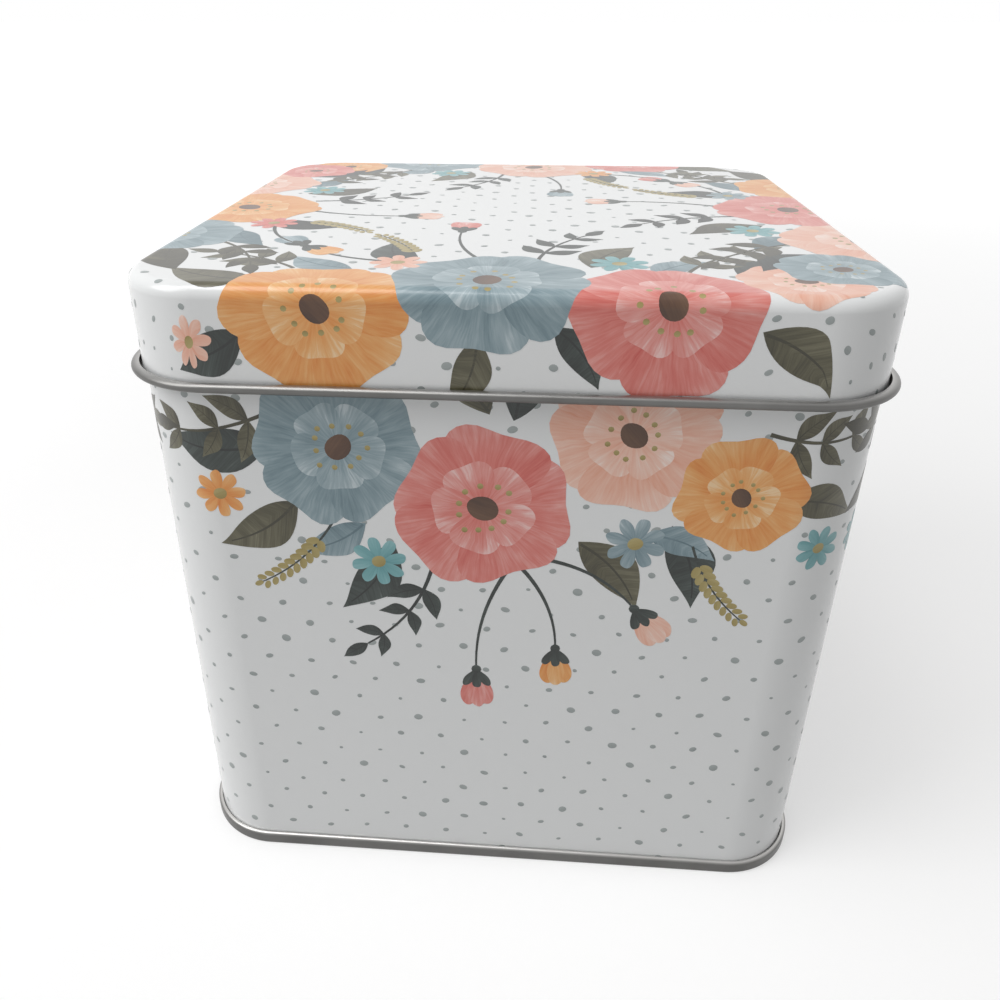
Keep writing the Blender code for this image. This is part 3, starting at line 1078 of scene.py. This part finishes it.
def add_lamp(name, place, size, power):
    """A square soft lamp that looks at the middle of the tin."""
    turn = (Vector(place) - TIN_MIDDLE).to_track_quat("Z", "Y").to_euler()
    bpy.ops.object.light_add(type="AREA", location=place, rotation=turn)
    lamp = named(name)
    lamp.data.size = size
    lamp.data.energy = power


def set_sky(scene, power):
    """White where the camera or a reflection looks, and softer where it lights the tin."""
    scene.world = bpy.data.worlds.new("studio")
    n = Nodes(scene.world)
    strength = n.spread(n.seen(), power, 1.0, start=0.0, end=1.0, clamp=True)
    n.shade({"Color": WHITE, "Strength": strength})


class TIN_OT_stage(bpy.types.Operator):
    """Adds the floor, the camera, the lamps and the sky"""

    bl_idname = "tin.stage"
    bl_label = "Set the stage"

    def execute(self, context):
        scene, studio = context.scene, context.scene.tin_studio
        bpy.ops.object.camera_add(location=studio.camera_place, rotation=studio.camera_turn)
        scene.camera = named("camera")
        camera = scene.camera.data
        camera.sensor_width = 36
        camera.lens = studio.lens
        camera.shift_x = studio.shift_x
        camera.shift_y = studio.shift_y
        camera.clip_start = 0.01
        add_floor(studio.near_glow, studio.far_glow)
        add_lamp("key_lamp", (-0.30, -0.22, 1.05), size=0.5, power=studio.key_power)
        add_lamp("side_lamp", (-0.82, -0.36, 0.82), size=0.6, power=studio.side_power)
        set_sky(scene, studio.sky)
        scene.view_settings.view_transform = "Standard"
        return {"FINISHED"}


class TIN_OT_base(bpy.types.Operator):
    """Stamps the base panel and folds its edge into the double seam"""

    bl_idname = "tin.base"
    bl_label = "Stamp the base"

    def execute(self, context):
        sizes = context.scene.tin_sizes
        outline = band(base_path(sizes), HALF_SHEET, -HALF_SHEET)
        base = carry_round("base_sheet", outline, sizes, panel=True)
        # Painted shade: the base's folds in the seam darken to the rim colour
        paint_rim_shade(base, sizes, LAYER_PITCH, 3 * LAYER_PITCH)
        material = tinplate_material(context.scene.tin_colours)
        finish_sheet(base, "tin_body", "bare_tinplate", material, "base_panel")
        return {"FINISHED"}


class TIN_OT_wall(bpy.types.Operator):
    """Rolls the body wall, with its mouth curl, flange and side seam, and enamels its outside"""

    bl_idname = "tin.wall"
    bl_label = "Roll the wall"

    def execute(self, context):
        sizes, colours = context.scene.tin_sizes, context.scene.tin_colours
        whole, printed = wall_paths(sizes)
        sheet = carry_round("wall_sheet", band(whole, *METAL_LAYER), sizes, panel=False)
        width, foot = sizes.side_seam_width, sizes.recess + SHEET + SIDE_SEAM_END_GAP
        folds = side_block("side_folds", sizes, width, -3 * SHEET, -HALF_SHEET, foot)
        combine(sheet, folds, "UNION")
        # The line that the side seam shows on the outside
        groove = (SIDE_GROOVE_WIDTH, -SIDE_GROOVE_DEPTH, SHEET, sizes.seam_height)
        combine(sheet, side_block("side_groove", sizes, *groove), "DIFFERENCE")
        # Painted shade: the wall's sheet darkens to the rim colour out from its middle, over the
        # seam's folds
        paint_rim_shade(sheet, sizes, -SHEET, -HALF_SHEET)
        finish_sheet(sheet, "tin_body", "bare_tinplate", tinplate_material(colours), "body_wall")
        coat = carry_round("wall_enamel", band(printed, *COAT_LAYER), sizes, panel=False)
        combine(coat, side_block("side_groove", sizes, *groove), "DIFFERENCE")
        finish_sheet(coat, "tin_body", "wall_enamel", enamel_material(colours))
        return {"FINISHED"}


class TIN_OT_lid(bpy.types.Operator):
    """Draws the lid from one sheet, with its outward curl, and enamels its outside"""

    bl_idname = "tin.lid"
    bl_label = "Draw the lid"

    def execute(self, context):
        sizes, colours = context.scene.tin_sizes, context.scene.tin_colours
        whole, printed = lid_paths(sizes)
        sheet = carry_round("lid_sheet", band(whole, *METAL_LAYER), sizes, panel=True)
        # Painted shade: the lid's curl darkens outward to the rim colour
        paint_rim_shade(sheet, sizes, LID_GAP + SHEET, LID_REACH - HALF_SHEET)
        finish_sheet(sheet, "tin_lid", "bare_tinplate", tinplate_material(colours), "lid")
        coat = carry_round("lid_enamel", band(printed, *COAT_LAYER), sizes, panel=True)
        finish_sheet(coat, "tin_lid", "lid_enamel", enamel_material(colours))
        return {"FINISHED"}


class TIN_OT_wall_print(bpy.types.Operator):
    """Prints the flowers and dots on the body wall"""

    bl_idname = "tin.wall_print"
    bl_label = "Print the wall"

    def execute(self, context):
        blank = WallBlank(context.scene.tin_sizes)
        print_blank(blank, design_wall(blank), "wall_print_", "tin_body", "wall_enamel")
        return {"FINISHED"}


class TIN_OT_lid_print(bpy.types.Operator):
    """Prints the flowers and dots on the lid"""

    bl_idname = "tin.lid_print"
    bl_label = "Print the lid"

    def execute(self, context):
        blank = LidBlank(context.scene.tin_sizes)
        print_blank(blank, design_lid(blank), "lid_print_", "tin_lid", "lid_enamel")
        return {"FINISHED"}


GROUPS = {"tin_sizes": TinSizes, "tin_colours": TinColours, "tin_studio": TinStudio}
STEPS = (TIN_OT_stage, TIN_OT_base, TIN_OT_wall, TIN_OT_lid, TIN_OT_wall_print, TIN_OT_lid_print)


class TIN_PT_panel(bpy.types.Panel):
    """Lists the steps that build the tin, with its sizes and colours"""

    bl_label = "Tin Box"
    bl_idname = "TIN_PT_panel"
    bl_space_type = "VIEW_3D"
    bl_region_type = "UI"
    bl_category = "Tin Box"

    def draw(self, context):
        for step in STEPS:
            self.layout.operator(step.bl_idname)
        for name in GROUPS:
            group = getattr(context.scene, name)
            box = self.layout.box()
            for prop in group.__annotations__:
                box.prop(group, prop)


CLASSES = (*GROUPS.values(), *STEPS, TIN_PT_panel)


def register():
    for cls in CLASSES:
        bpy.utils.register_class(cls)
    for name, group in GROUPS.items():
        setattr(bpy.types.Scene, name, PointerProperty(type=group))


def unregister():
    for name in GROUPS:
        delattr(bpy.types.Scene, name)
    for cls in reversed(CLASSES):
        bpy.utils.unregister_class(cls)


def main():
    register()
    bpy.ops.tin.stage()
    bpy.ops.tin.base()
    bpy.ops.tin.wall()
    bpy.ops.tin.lid()
    bpy.ops.tin.wall_print()
    bpy.ops.tin.lid_print()


if __name__ == "__main__":
    main()
